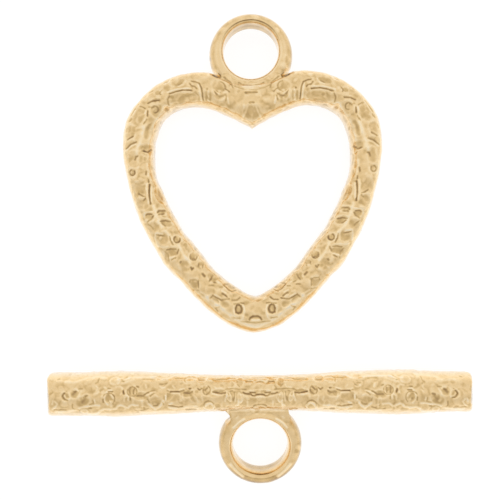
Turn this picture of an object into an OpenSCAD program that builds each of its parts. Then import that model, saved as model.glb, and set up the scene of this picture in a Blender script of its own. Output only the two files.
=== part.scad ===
/* [Heart frame] */
// Size of the heart against its outline table, where 1 is 14 mm wide
heart_size = 1; // [0.9:0.05:1.3]
// Thickness of the heart frame, front to back
frame_thick = 1.8; // [1.5:0.05:2.2]
// Squareness of the frame's section, where 2 is an ellipse
frame_square = 2.5; // [2:0.1:3.5]
// Turn of the heart on the table it lies on
heart_turn = 1; // [-3:0.5:3]

/* [Toggle bar] */
// Length of the toggle bar
bar_length = 22.7; // [20:0.1:26]
// Thickness of the bar at its two fat places
bar_fat = 2.38; // [2.2:0.02:2.6]
// Thickness of the bar at its waist
bar_waist = 1.84; // [1.7:0.02:2]
// Rounding of the bar's square-cut ends
bar_edge = 0.25; // [0.15:0.05:0.4]
// How far the bar's ends round back towards its front and underside
end_dome = 0.32; // [0:0.02:0.4]
// Turn of the toggle bar on the table it lies on
bar_turn = 0.4; // [-3:0.2:3]

/* [Loops] */
// Radius of the hole through each loop
bore_r = 1.47; // [1.3:0.01:1.5]
// Width of a loop's rim at its sides, seen from the front
loop_rim = 0.77; // [0.7:0.01:0.85]
// Half the thickness of a loop, front to back
loop_half = 0.65; // [0.6:0.01:0.7]
// How far the edges of the hole in the heart's loop open out
heart_bore_edge = 0.25; // [0.1:0.01:0.35]
// How far the edges of the hole in the bar's loop open out
bar_bore_edge = 0.36; // [0.1:0.01:0.4]
// Half the length of the straight hole wall in the heart's loop
heart_bore_half = 0.36; // [0.2:0.01:0.5]
// Half the length of the straight hole wall in the bar's loop
bar_bore_half = 0.18; // [0.15:0.01:0.5]
// How far the hole of the heart's loop lies above the middle of its rim
heart_bore_up = 0.15; // [0:0.01:0.2]
// How deep the heart's loop sinks into the notch
heart_loop_sink = 0.90; // [0.5:0.01:1]
// How deep the bar's loop sinks into the waist
bar_loop_sink = 0.35; // [0.2:0.01:0.5]
// Half the thickness of the web between the heart and its loop
web_half = 0.65; // [0.4:0.01:0.67]
// Half the thickness of the neck between the waist and the bar's loop
neck_half = 0.58; // [0.4:0.01:0.65]
// Radius of the small bite between the bar and the left shoulder of its loop
bite_r = 0.32; // [0.1:0.02:0.4]

/* [Layout] */
// Distance from the heart's centre down to the bar's axis
spread = 10.8; // [10.5:0.1:14]
// Shift of the heart to the side, away from the middle of the bar
heart_shift = -0.36; // [-1:0.05:1]

/* [Hammering] */
// Depth of the dents, where 1 is as charted
dent_scale = 1; // [0:0.1:1.3]

/* [Hidden] */
$fn = 96;
gold = [0.88, 0.77, 0.60];
frame_rings = 150;
frame_sides = 24;
bar_rings = 84;
bar_sides = 24;

// Outline of one half of the heart about its centre, in mm:
// angle above the level, radius of the inner edge, radius of the outer edge
angle_step = 10;
HEART = [
    [-90, 5.76, 7.70],
    [-80, 5.30, 7.37],
    [-70, 4.94, 6.90],
    [-60, 4.65, 6.50],
    [-50, 4.37, 6.22],
    [-40, 4.27, 6.21],
    [-30, 4.33, 6.12],
    [-20, 4.39, 6.20],
    [-10, 4.58, 6.35],
    [  0, 4.85, 6.58],
    [ 10, 5.28, 6.94],
    [ 20, 5.62, 7.41],
    [ 30, 5.95, 7.78],
    [ 40, 6.15, 7.79],
    [ 50, 5.90, 7.65],
    [ 60, 5.31, 7.32],
    [ 70, 4.48, 6.80],
    [ 80, 3.84, 6.00],
    [ 90, 3.38, 5.95],
];
last_row = len(HEART) - 1;
col_inner = 1;
col_outer = 2;

// Outline of the bar: share of the way out to an end,
// share of the way from waist to fat thickness on the left and on the right
BAR = [
    [0.00, 0.00, 0.00],
    [0.10, 0.02, 0.02],
    [0.19, 0.10, 0.13],
    [0.30, 0.31, 0.35],
    [0.40, 0.56, 0.66],
    [0.50, 0.70, 0.77],
    [0.60, 0.92, 0.92],
    [0.65, 1.00, 0.95],
    [0.71, 0.97, 0.89],
    [0.80, 0.85, 0.69],
    [0.86, 0.80, 0.56],
    [1.00, 0.80, 0.52],
];
col_left = 1;
col_right = 2;

// Web in the notch of the heart, to the side and up from the heart's centre
WEB = [
    [-1.45, 6.20],
    [-1.74, 6.00],
    [-1.66, 5.75],
    [-1.10, 5.30],
    [-0.92, 5.15],
    [ 0.92, 5.15],
    [ 1.10, 5.30],
    [ 1.66, 5.75],
    [ 1.74, 6.00],
    [ 1.45, 6.20],
];

// Neck of the bar's loop, along the bar and up from its middle
NECK = [
    [-1.70, -0.55],
    [-1.88, -0.95],
    [-1.80, -1.27],
    [-1.40, -1.80],
    [ 1.45, -1.80],
    [ 1.58, -1.30],
    [ 1.54, -1.00],
    [ 1.45, -0.55],
];

// Place of the bite at the left shoulder of the bar's loop
bite_at = [-1.89, -1.27];

// Larger dents of one half of the heart, charted in mm from a picture of it about its centre:
// to the side, up, half length, half width, turn, depth
HEART_DENTS = [
    [0.00,  4.21, 0.50, 0.42,   0, 0.10],
    [1.72,  5.59, 0.42, 0.34,   0, 0.08],
    [1.71,  5.10, 0.34, 0.24,   0, 0.07],
    [2.35,  5.10, 0.45, 0.22,  90, 0.07],
    [3.76,  5.01, 0.85, 0.32,  -4, 0.11],
    [3.95,  5.85, 0.55, 0.28, -12, 0.07],
    [5.10,  4.34, 0.45, 0.40,   0, 0.08],
    [6.17,  4.10, 0.55, 0.42, -60, 0.10],
    [6.59,  3.23, 0.45, 0.35, -70, 0.08],
    [5.62,  3.25, 0.50, 0.28, -70, 0.07],
    [6.58,  2.53, 0.34, 0.30,   0, 0.06],
    [5.65,  2.28, 0.42, 0.36,   0, 0.09],
    [6.46,  1.78, 0.50, 0.32,  90, 0.07],
    [6.53,  1.04, 0.32, 0.30,   0, 0.08],
    [6.10,  0.11, 0.50, 0.42,  80, 0.08],
    [5.02, -0.20, 0.50, 0.34,  65, 0.11],
    [5.98, -0.64, 0.40, 0.38,   0, 0.07],
    [4.95, -1.11, 0.34, 0.26,   0, 0.08],
    [5.64, -1.34, 0.36, 0.30,  30, 0.09],
    [4.72, -1.70, 0.42, 0.28,  20, 0.10],
    [5.42, -1.93, 0.36, 0.34,   0, 0.07],
    [4.92, -2.57, 0.42, 0.40,   0, 0.09],
    [4.16, -2.61, 0.30, 0.28,   0, 0.08],
    [4.48, -3.32, 0.46, 0.32, -20, 0.10],
    [3.28, -3.51, 0.32, 0.26,   0, 0.08],
    [3.76, -4.06, 0.40, 0.32,  60, 0.07],
    [2.29, -4.68, 0.38, 0.30,  50, 0.07],
    [3.26, -5.03, 0.38, 0.32,  50, 0.08],
    [1.36, -5.21, 0.46, 0.30,  32, 0.09],
    [2.22, -5.93, 0.42, 0.28,  35, 0.09],
    [0.86, -6.44, 0.40, 0.34,  60, 0.11],
    [0.00, -6.91, 0.40, 0.20,   0, 0.08],
];

// Larger dents of one half of the bar, charted in mm from a picture of it about its middle:
// along, up, half length, half width, turn, depth
BAR_DENTS = [
    [ 0.20, -0.04, 0.60, 0.24,   0, 0.08],
    [ 1.09,  0.56, 0.30, 0.26,  90, 0.07],
    [ 1.10, -0.25, 0.38, 0.24,  80, 0.08],
    [ 1.69, -0.19, 0.36, 0.22,  70, 0.07],
    [ 2.23,  0.06, 0.42, 0.22,   0, 0.08],
    [ 2.88,  0.14, 0.36, 0.26,  60, 0.10],
    [ 2.77, -0.70, 0.40, 0.26,   0, 0.07],
    [ 3.20,  0.74, 0.36, 0.24,   0, 0.07],
    [ 3.95,  0.00, 0.42, 0.30,   0, 0.09],
    [ 4.70, -0.20, 0.44, 0.34,   0, 0.08],
    [ 5.64, -0.45, 0.42, 0.30,   0, 0.08],
    [ 6.44, -0.13, 0.42, 0.28,   0, 0.09],
    [ 6.87,  0.11, 0.34, 0.34,   0, 0.10],
    [ 7.84,  0.66, 0.40, 0.30,   0, 0.07],
    [ 8.12, -0.26, 0.40, 0.38,   0, 0.09],
    [ 9.52, -0.41, 0.45, 0.30, -20, 0.09],
    [ 9.98,  0.02, 0.32, 0.30,   0, 0.08],
    [10.44, -0.13, 0.30, 0.28,   0, 0.08],
];

// Share of the charted distances that holds on each front face, which is nearer the eye
heart_chart = 0.975;
bar_chart = 0.965;
// Angle by which the bar's own top leans away from the eye
bar_lean = 20.2;

// Sizes worked out from the ones above
loop_outer = bore_r + loop_rim;
loop_ring = loop_outer - loop_half;
heart_loop_up = HEART[last_row][col_outer] * heart_size + loop_outer - heart_loop_sink;
bar_loop_down = bar_waist / 2 + loop_outer - bar_loop_sink;
rest_tilt = asin((bar_fat / 2 - loop_half) / (bar_loop_down + loop_ring));
top_reach = heart_loop_up * cos(heart_turn) + loop_outer;
bottom_reach = spread + (bar_loop_down + loop_ring) * cos(rest_tilt) + loop_half;
heart_y = (bottom_reach - top_reach) / 2;
bar_y = heart_y - spread;
flare_top = loop_half + 0.03;
cut_reach = 2;

// Smooth curve through four neighbouring values of a table
function blend(before, from, to, after, t) =
    from + 0.5 * t * (to - before
        + t * (2 * before - 5 * from + 4 * to - after
        + t * (3 * (from - to) + after - before)));

// Value of the heart's table, with straight run-on past both ends
function heart_cell(row, col) =
    row < 0 ? 2 * HEART[0][col] - HEART[1][col]
    : row > last_row ? 2 * HEART[last_row][col] - HEART[last_row - 1][col]
    : HEART[row][col];

// Radius of the heart's edge at an angle from -90 to 90
function heart_edge(angle, col) =
    let (place = (angle + 90) / angle_step)
    let (row = min(floor(place), last_row - 1))
    heart_size * blend(
        heart_cell(row - 1, col), heart_cell(row, col),
        heart_cell(row + 1, col), heart_cell(row + 2, col), place - row);

// Depth of one dent at a point, with a rounded floor and a crisp rim
function dent(row, x, y, size) =
    let (dx = x - row[0] * size)
    let (dy = y - row[1] * size)
    let (along = (dx * cos(row[4]) + dy * sin(row[4])) / row[2])
    let (across = (dy * cos(row[4]) - dx * sin(row[4])) / row[3])
    row[5] * max(0, 1 - along * along - across * across);

// Depth of the hammering at a point of a half that is mirrored to both sides
function hammered(chart, x, y, size) =
    dent_scale * max([for (row = chart) dent(row, abs(x), y, size)]);

// Signed power, for sections between an ellipse and a rectangle
function squared(value, power) = sign(value) * pow(abs(value), power);

// One point of the heart's surface
function heart_point(ring, side) =
    let (angle = -90 + 360 * ring / frame_rings)
    let (folded = angle <= 90 ? angle : 180 - angle)
    let (inner = heart_edge(folded, col_inner))
    let (outer = heart_edge(folded, col_outer))
    let (t = 360 * side / frame_sides)
    let (radius = (inner + outer) / 2
        + (outer - inner) / 2 * squared(cos(t), 2 / frame_square))
    let (x = radius * cos(angle))
    let (y = radius * sin(angle))
    let (push = hammered(HEART_DENTS, x, y, heart_size * heart_chart) * abs(sin(t)))
    let (height = frame_thick / 2 * squared(sin(t), 2 / frame_square))
    [x, y, height - sign(height) * push];

// Radius of the bar at a distance from its middle
function bar_radius(along) =
    let (share = abs(along) / (bar_length / 2))
    let (side = along < 0 ? col_left : col_right)
    let (swell = lookup(share, [for (row = BAR) [row[0], row[side]]]))
    let (to_end = bar_length / 2 - abs(along))
    let (corner = max(0, 1 - to_end / bar_edge))
    (bar_waist + (bar_fat - bar_waist) * swell) / 2
        - bar_edge * (1 - sqrt(1 - corner * corner));

// Places of the bar's rings from right to left, with three close together at each end
END_STEPS = [0, 0.12, 0.45];
dome_reach = 1.2;
function bar_place(ring) =
    let (first = len(END_STEPS))
    let (last = bar_rings - 1)
    let (inner_half = bar_length / 2 - bar_edge)
    ring < first ? bar_length / 2 - bar_edge * END_STEPS[ring]
    : ring > last - first ? -bar_length / 2 + bar_edge * END_STEPS[last - ring]
    : inner_half - 2 * inner_half * (ring - first) / (last - 2 * first);

// How far a ring of the bar is bent back at its front and underside, near an end
function end_bend(along) =
    end_dome * pow(max(0, 1 - (bar_length / 2 - abs(along)) / dome_reach), 2) * sign(along);

// One point of the bar's surface
function bar_point(ring, side) =
    let (along = bar_place(ring))
    let (t = 360 * side / bar_sides)
    let (radius = bar_radius(along))
    let (seen = radius * sin(asin(cos(t)) - bar_lean))
    let (push = hammered(BAR_DENTS, along, seen, bar_chart) * abs(sin(t)))
    let (bend = end_bend(along) * pow(sin(t), 2))
    [along - bend, (radius - push) * cos(t), (radius - push) * sin(t)];

// Four-sided faces between one ring of points and the next, as triangles
function band_faces(ring, next, sides) = [
    for (side = [0 : sides - 1])
        let (a = ring * sides + side)
        let (b = ring * sides + (side + 1) % sides)
        let (c = next * sides + (side + 1) % sides)
        let (d = next * sides + side)
        each (side + ring) % 2 == 0 ? [[a, b, c], [a, c, d]] : [[a, b, d], [b, c, d]]
];

// Faces of one end of the bar, in level strips from its middle to the front or the underside
function end_faces(first, way) =
    let (half = bar_sides / 2)
    [
        for (step = [0 : half / 2 - 1])
            let (a = first + (way * step + bar_sides) % bar_sides)
            let (b = first + (way * step + way + bar_sides) % bar_sides)
            let (c = first + half - way * step - way)
            let (d = first + half - way * step)
            each step == half / 2 - 1 ? [[a, b, d]] : [[a, b, c], [a, c, d]]
    ];

// Same faces turned over
function turned(faces) = [for (face = faces) [face[0], face[2], face[1]]];

// Heart-shaped band with a rounded section and hammered faces
module heart_band() {
    points = [
        for (ring = [0 : frame_rings - 1])
            for (side = [0 : frame_sides - 1])
                heart_point(ring, side)
    ];
    faces = [
        for (ring = [0 : frame_rings - 1])
            each band_faces(ring, (ring + 1) % frame_rings, frame_sides)
    ];
    polyhedron(points, faces);
}

// Hourglass bar with square-cut ends and hammered faces
module bar_body() {
    points = [
        for (ring = [0 : bar_rings - 1])
            for (side = [0 : bar_sides - 1])
                bar_point(ring, side)
    ];
    last = bar_rings - 1;
    faces = [
        each turned(end_faces(0, 1)),
        each end_faces(0, -1),
        for (ring = [0 : last - 1])
            each band_faces(ring, ring + 1, bar_sides),
        each end_faces(last * bar_sides, 1),
        each turned(end_faces(last * bar_sides, -1)),
    ];
    polyhedron(points, faces);
}

// Domed ring of a loop, still without its hole
module loop_ring() {
    rotate_extrude()
        translate([loop_ring, 0])
            circle(r = loop_half);
}

// Spool-shaped cutter: a straight hole whose edges open out
module loop_hole(wall_half, bore_edge) {
    steps = 5;
    edge = [
        for (step = [0 : steps])
            let (t = 90 * step / steps)
            [bore_r + bore_edge * (1 - cos(t)), wall_half + (flare_top - wall_half) * sin(t)]
    ];
    wide = bore_r + bore_edge;
    profile = concat(
        [[0, -cut_reach], [wide, -cut_reach]],
        [for (step = [steps : -1 : 0]) [edge[step][0], -edge[step][1]]],
        edge,
        [[wide, cut_reach], [0, cut_reach]]
    );
    rotate_extrude() polygon(profile);
}

// Flat web that runs from the heart's front into its loop
module notch_web() {
    linear_extrude(height = 2 * web_half, center = true)
        polygon(WEB * heart_size);
}

// Flat neck that carries the bar's loop
module loop_neck() {
    linear_extrude(height = 2 * neck_half, center = true)
        polygon(NECK);
}

// Heart frame and its cast-on loop, lying flat
module heart_frame() {
    color(gold)
        translate([heart_shift, heart_y, frame_thick / 2])
            rotate([0, 0, heart_turn])
                difference() {
                    union() {
                        heart_band();
                        notch_web();
                        translate([0, heart_loop_up, 0]) loop_ring();
                    }
                    translate([0, heart_loop_up + heart_bore_up, 0])
                        loop_hole(heart_bore_half, heart_bore_edge);
                }
}

// Toggle bar and its cast-on loop, resting on both fat places and the loop's rim
module toggle_bar() {
    color(gold)
        translate([0, bar_y, bar_fat / 2])
            rotate([rest_tilt, 0, bar_turn])
                difference() {
                    union() {
                        bar_body();
                        loop_neck();
                        translate([0, -bar_loop_down, 0]) loop_ring();
                    }
                    translate([0, -bar_loop_down, 0]) loop_hole(bar_bore_half, bar_bore_edge);
                    translate([bite_at[0], bite_at[1], -cut_reach]) cylinder(r = bite_r, h = 2 * cut_reach);
                }
}

heart_frame();
toggle_bar();
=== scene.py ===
import math

import bpy
import numpy as np
from mathutils import Matrix, Vector


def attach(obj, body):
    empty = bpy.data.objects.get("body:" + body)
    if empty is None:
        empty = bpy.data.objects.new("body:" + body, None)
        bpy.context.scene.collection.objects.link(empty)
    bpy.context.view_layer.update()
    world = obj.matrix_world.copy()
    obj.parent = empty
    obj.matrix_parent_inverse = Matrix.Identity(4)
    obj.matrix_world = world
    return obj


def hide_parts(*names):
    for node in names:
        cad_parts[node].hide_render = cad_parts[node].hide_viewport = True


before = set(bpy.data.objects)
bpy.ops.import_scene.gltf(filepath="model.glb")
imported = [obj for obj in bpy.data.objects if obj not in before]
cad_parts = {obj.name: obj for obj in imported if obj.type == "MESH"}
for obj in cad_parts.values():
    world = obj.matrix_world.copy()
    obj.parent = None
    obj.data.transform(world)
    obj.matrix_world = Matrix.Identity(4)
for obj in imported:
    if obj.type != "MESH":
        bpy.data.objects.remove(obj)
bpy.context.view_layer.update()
MM = 0.001

# The heart half, in mm and degrees: thickness of its band, power of the band's squared section, half
# of its usual width, how soft its lowest point is, and how the half lies
BAND_THICK = 1.8
BAND_SQUARE = 2.5
BAND_HALF = 0.93
TIP_ROUND = 2.4
HEART_TURN = 1.0
HEART_SHIFT = -0.36

# The bar half: its length, widths at its fattest and at its waist, rounding of its end edges,
# dome and slant of its ends, how far in they reach, its turn, and the small bite left of its neck
BAR_LENGTH = 22.7
BAR_FAT = 2.38
BAR_WAIST = 1.84
BAR_EDGE = 0.28
END_DOME = 0.32
END_SLANT = 0.03
DOME_REACH = 1.2
BAR_TURN = 0.4
BITE_R = 0.32
BITE_AT = (-1.89, -1.27)

# The loops: radius of the hole, width of the metal round it, and half its thickness
BORE_R = 1.47
LOOP_RIM = 0.77
LOOP_HALF = 0.65

# Each loop's own: how wide the hole opens out, half the height of its straight wall, how far the
# heart's hole lies above the middle of its ring, and how deep each ring sits in its half
HEART_BORE_EDGE = 0.40
BAR_BORE_EDGE = 0.36
HEART_BORE_HALF = 0.36
BAR_BORE_HALF = 0.18
HEART_BORE_UP = 0.15
HEART_LOOP_SINK = 0.90
BAR_LOOP_SINK = 0.35

# What joins the loops: half thickness of the heart's web and of the bar's neck, the neck's fillet, and
# how far below the bar's axis that ends; and the distance between the middles of the two halves
WEB_HALF = 0.65
NECK_HALF = 0.58
NECK_FILLET = 0.5
FILLET_END = 0.64
SPREAD = 10.8

# Outline of one half of the heart about its centre, a step of degrees a row:
# angle above the level, radius of the inner edge, radius of the outer edge
ANGLE_STEP = 10
HEART = np.array([
    (-90, 5.76, 7.70), (-80, 5.30, 7.37), (-70, 4.94, 6.90), (-60, 4.65, 6.50), (-50, 4.37, 6.22),
    (-40, 4.27, 6.21), (-30, 4.33, 6.12), (-20, 4.39, 6.20), (-10, 4.58, 6.35), (0, 4.85, 6.58),
    (10, 5.28, 6.94), (20, 5.62, 7.41), (30, 5.95, 7.78), (40, 6.15, 7.79), (50, 5.90, 7.65),
    (60, 5.31, 7.32), (70, 4.48, 6.80), (80, 3.84, 6.00), (90, 3.38, 5.95),
])

# Outline of the bar: share of the way out to an end,
# share of the way from waist to fat thickness on the left and on the right
BAR = np.array([
    (0.00, 0.00, 0.00), (0.10, 0.02, 0.02), (0.19, 0.10, 0.13), (0.30, 0.31, 0.35),
    (0.40, 0.56, 0.66), (0.50, 0.70, 0.77), (0.60, 0.92, 0.92), (0.65, 1.00, 0.95),
    (0.71, 0.97, 0.89), (0.80, 0.85, 0.69), (0.86, 0.80, 0.56), (1.00, 0.80, 0.52),
])

# Web between the heart and its loop: up from the heart's centre, left edge, right edge
WEB = np.array([
    (5.15, -0.92, 0.92), (5.30, -1.10, 1.10), (5.75, -1.66, 1.66), (6.00, -1.74, 1.74),
    (6.20, -1.45, 1.45),
])

# Neck of the bar's loop: up from the bar's middle, left edge, right edge
NECK = np.array([
    (-1.80, -1.40, 1.45), (-1.30, -1.56, 1.58), (-1.20, -1.58, 1.565), (-1.02, -1.64, 1.54),
    (-0.90, -1.74, 1.52), (-0.79, -1.86, 1.50), (-0.55, -1.70, 1.45),
])

# Places worked out from the sizes above
LOOP_OUTER = BORE_R + LOOP_RIM
LOOP_RING = LOOP_OUTER - LOOP_HALF
HEART_LOOP_UP = HEART[-1, 2] + LOOP_OUTER - HEART_LOOP_SINK
BAR_LOOP_DOWN = BAR_WAIST / 2 + LOOP_OUTER - BAR_LOOP_SINK
REST_TILT = math.degrees(math.asin((BAR_FAT / 2 - LOOP_HALF) / (BAR_LOOP_DOWN + LOOP_RING)))
TOP_REACH = HEART_LOOP_UP * math.cos(math.radians(HEART_TURN)) + LOOP_OUTER
BOTTOM_REACH = SPREAD + (BAR_LOOP_DOWN + LOOP_RING) * math.cos(math.radians(REST_TILT)) + LOOP_HALF
HEART_Y = (BOTTOM_REACH - TOP_REACH) / 2
BAR_Y = HEART_Y - SPREAD

# View of the photograph: width of the field at the clasp's middle height, how far above that height
# the camera is, and its place, in mm
VIEW_WIDTH = 27.0
VIEW_HEIGHT = 32.6
VIEW_X = -0.53
VIEW_Y = -0.024

# Charts of dents and rings are in mm of the picture, about a half's middle. On the front faces, which
# lie nearer the eye, each of these is this many real mm. The bar's side nearest the eye is this many
# degrees round from its top
HEART_CHART = 0.975
BAR_CHART = 0.965
BAR_LEAN = 20.2

# Charts of lines are in the photo's pixels: a pixel in those mm, the pixels across and down to the
# middle of each half, and the narrowest line that the meshes carry, in mm
PIXEL = 0.054
HEART_MIDDLE_PIXEL = (253.05, 190)
BAR_MIDDLE_PIXEL = (260.3, 392.3)
NARROWEST = 0.07

# Dents of one side of the heart, mirrored to the other: to the side, up, half length, half width,
# turn, depth (a raised pad where negative)
HEART_DENTS = [
    (0, 4.21, 0.5, 0.42, 0, 0.07), (1.72, 5.59, 0.42, 0.34, 0, 0.05), (1.71, 5.1, 0.34, 0.24, 0, 0.05),
    (2.25, 5.09, 0.28, 0.1, 90, 0.03), (2.46, 5.09, 0.28, 0.1, 90, 0.03),
    (3.76, 5.01, 0.85, 0.32, -4, 0.08), (3.95, 5.85, 0.45, 0.22, -12, 0.05),
    (4.59, 6.02, 0.24, 0.12, -35, 0.06), (5.06, 5.31, 0.2, 0.16, 0, 0.05),
    (5.1, 4.34, 0.42, 0.38, 0, 0.05), (4.61, 4.46, 0.2, 0.18, 0, 0.07),
    (6.17, 4.1, 0.55, 0.42, -60, 0.07), (6.55, 3.94, 0.2, 0.1, -60, 0.05),
    (6.59, 3.23, 0.42, 0.32, -70, 0.05), (6.81, 3.34, 0.18, 0.09, -75, 0.05),
    (5.62, 3.25, 0.48, 0.22, -70, 0.05), (6.58, 2.53, 0.34, 0.3, 0, 0.04),
    (5.65, 2.28, 0.4, 0.34, 0, 0.06), (6.46, 1.78, 0.48, 0.3, 90, 0.05),
    (6.53, 1.04, 0.26, 0.24, 0, 0.05), (6.1, 0.11, 0.5, 0.4, 80, 0.05), (5.02, -0.2, 0.5, 0.32, 65, 0.08),
    (5.98, -0.64, 0.4, 0.36, 0, 0.05), (4.95, -1.11, 0.3, 0.16, 0, 0.05),
    (5.64, -1.34, 0.32, 0.24, 30, 0.06), (4.72, -1.7, 0.36, 0.24, 20, 0.08),
    (5.42, -1.93, 0.34, 0.32, 0, 0.04), (4.92, -2.57, 0.36, 0.34, 0, 0.05),
    (4.16, -2.61, 0.22, 0.22, 0, 0.05), (4.48, -3.32, 0.42, 0.3, -20, 0.06),
    (3.28, -3.51, 0.26, 0.22, 0, 0.06), (3.76, -4.06, 0.38, 0.3, 60, 0.04),
    (2.9, -3.94, 0.18, 0.16, 0, 0.04), (2.29, -4.68, 0.34, 0.24, 50, 0.05),
    (3.26, -5.03, 0.32, 0.26, 50, 0.06), (1.36, -5.21, 0.4, 0.24, 32, 0.06),
    (2.22, -5.93, 0.38, 0.22, 35, 0.05), (0.86, -6.44, 0.3, 0.26, 60, 0.08),
    (1.67, -6.13, 0.32, 0.22, 30, 0.04), (0, -6.91, 0.34, 0.14, 0, 0.05),
]

# Lines read off the heart's right side in the photo, mirrored to the other, by tone (groove painted dark
# as shade where negative, ridge painted bright as a highlight where positive): width, points
HEART_LINES = {-1: [
    (1.8, 282, 75, 285, 74, 287.5, 73), (1.4, 311, 89, 316, 88.4, 320, 88.3, 327, 89.5, 333, 91.5),
    (1.7, 356.3, 181, 357, 190, 356.5, 196, 356, 200.5),
    (1.9, 275, 308.5, 274, 305, 271.5, 304, 269.5, 305.5, 268.5, 308.5, 269.5, 312, 272, 313, 274.5, 312,
     275, 308.5),
], -0.9: [
    (1.5, 249, 92.6, 253, 92.4, 257, 92.7), (1.4, 344, 97.6, 350, 98, 355, 100),
    (1.6, 355.5, 107.5, 356, 112.5), (1.1, 371, 132.5, 374, 133.8, 377, 135.5),
    (1.3, 368, 138.5, 374, 140.5, 379, 144.5), (1.9, 261, 319.5, 260, 317.5, 257.5, 316, 255, 316),
], -0.8: [
    (1.1, 300, 98, 301, 88, 303, 82, 307, 80.3, 311, 79.5), (1.2, 354, 145.5, 357, 148.5, 361, 147.5),
    (1.3, 367, 152.5, 369, 153, 370, 156), (1.1, 342, 207.3, 348, 207.5, 349.5, 209.5),
    (1.2, 337, 218.5, 342, 217.5, 347, 218.5), (1.6, 315.5, 266, 317, 267.5, 318, 265),
    (1.9, 304.5, 274.5, 306.5, 272.3), (1.4, 283, 296, 285, 294, 287.5, 292.5),
], -0.7: [
    (1.1, 286, 94, 288, 91), (1.3, 295.3, 87.6, 295.8, 88.4),
    (1.1, 306, 87, 308, 85, 311, 84.5, 312.5, 82), (1.6, 359, 168, 359.5, 171),
    (1.1, 343, 211, 348, 211.5), (1.2, 355, 211, 360, 210.5, 361.5, 212),
    (1.2, 353.5, 212.5, 356, 216, 359.5, 218), (1.2, 335, 242, 337, 238, 338, 234),
    (1.1, 344, 233, 351, 231.5), (1.4, 329.5, 247, 331, 251), (1.3, 333, 255, 337, 257),
    (1.1, 274, 290, 278, 291, 282, 288, 286, 284),
    (1.2, 281, 298, 289, 299, 292, 297, 297, 294, 300, 297), (1.2, 266.5, 303, 269, 302.5, 276, 303.5),
], -0.6: [
    (1, 273.5, 91.5, 275, 90, 278, 88), (1, 276.5, 95.5, 277.5, 100), (1.8, 251.5, 103, 253.5, 103),
    (1.1, 341, 88, 343, 90, 342, 92), (1.1, 358, 105.3, 360.3, 103.5, 363.5, 102.3),
    (1, 357, 116, 360, 120.5), (1.3, 357, 176, 357, 179), (1, 361, 193.3, 364, 192.5, 368, 190),
    (1.2, 361, 195, 363, 197), (1.2, 342, 223, 346, 220), (1.1, 332, 246.5, 337, 246, 342, 247),
    (1.6, 327.5, 259.2, 328.6, 260), (1.1, 296.5, 274, 298, 277, 300, 279.5),
    (1.1, 293, 281.5, 295.5, 281), (1.1, 270, 297, 273, 299.5, 278, 299.5), (1.3, 271, 318, 277, 317),
    (1.2, 277, 93.5, 280, 95.5, 284, 96), (1.2, 275.5, 287, 279.5, 282.5, 285, 283.5),
], -0.5: [
    (1.1, 278, 75.5, 275, 78.5, 271.5, 81.5, 270, 87), (1, 294.5, 92.5, 295.5, 95, 294.5, 98),
    (1.1, 320.5, 81, 324, 83), (1, 250, 84.5, 257, 84.3, 264, 81.5), (1.4, 335, 77.5, 339, 79.5),
    (1.4, 350, 87, 354, 88.5), (1.3, 365, 100, 370, 106, 374, 112), (1.1, 312, 257, 317, 256.5, 318, 253),
    (1.1, 305.5, 263, 306.5, 265.5), (1.1, 311, 286, 311, 279, 314, 277.5, 319, 277.5, 320, 280),
    (1.1, 296, 284, 300, 284), (1.1, 287, 286, 290, 286), (1.1, 252, 323, 262, 322, 270, 321),
    (1.1, 291, 305.5, 295, 307, 293, 310), (1.2, 333.5, 93, 335.5, 97.5, 334.5, 102),
], -0.4: [
    (1, 250, 123, 255, 123), (1, 349, 104.5, 354, 104), (1.1, 310, 262, 310.5, 264.5),
    (1.2, 354.5, 225.5, 356.5, 223, 359.5, 221), (1.2, 343.5, 248.5, 340.5, 252.5, 339.5, 258),
    (1.2, 311.5, 288.5, 316.5, 288),
], -0.35: [
    (2.2, 373, 114, 375, 117.5),
], 0.5: [
    (1.4, 256, 107, 258, 112, 261, 117, 263, 119), (2.2, 351, 124.5, 354, 128, 355, 133, 356, 140),
    (2.2, 358, 160, 358, 170, 356, 176), (1.1, 357, 150, 362, 148.8), (1.2, 303, 294, 309, 290),
    (1.2, 302, 299, 312, 292),
], 0.6: [
    (1.2, 251, 88.5, 258, 88.5), (1.1, 283, 90, 285, 92, 283.5, 94), (1.1, 275.5, 97, 274.5, 103),
    (1.1, 302, 99, 303, 88, 304, 84), (1.1, 357, 115.5, 359, 117.5),
    (2.2, 334, 105, 338, 103, 341, 107, 345, 113, 350, 120, 354, 127), (1.6, 368, 105, 371, 110),
    (1.3, 358.5, 180, 360, 184, 358.5, 190), (1.1, 358, 196, 358, 200),
    (1.2, 337.5, 231, 336, 237, 333.5, 240), (1.2, 340, 243.5, 345, 244.5, 350, 243),
    (1.1, 333.6, 253.6, 338.6, 255), (1.1, 290.5, 282, 293, 281),
    (1.2, 267, 305, 266, 312, 268, 318, 271, 320), (1.2, 275.5, 306, 276.5, 312, 276, 317),
    (1.2, 250, 319.6, 260, 319.6),
], 0.7: [
    (1.4, 250, 86.3, 255, 86, 260, 86), (1.3, 312, 86.7, 325, 87, 335, 90),
    (1.4, 317, 79, 319, 81.5, 324, 84), (1.2, 355, 107, 357, 107.5, 358.5, 110),
    (3.4, 360, 122, 363, 135, 366, 143, 368, 150), (1.2, 368, 140.5, 373, 141.8, 378, 145.8),
    (1.3, 354.8, 183, 355, 198), (2.8, 353, 203, 350, 214, 345, 225, 340, 230, 338, 234),
    (1.2, 353, 208, 362, 209.5, 363, 213), (1.5, 345, 231, 350, 230, 352, 231, 353, 234, 352, 240),
    (2.6, 329, 243, 325, 252, 319, 260), (1.1, 284, 292, 288, 290), (1.1, 290, 296.5, 295, 293.5),
], 0.8: [
    (1.3, 294, 90, 294.7, 94, 294.5, 99),
], 0.9: [
    (3.7, 255.5, 327, 263.5, 324.5, 272, 320, 281, 314, 292, 305, 303, 295.5),
]}
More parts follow.
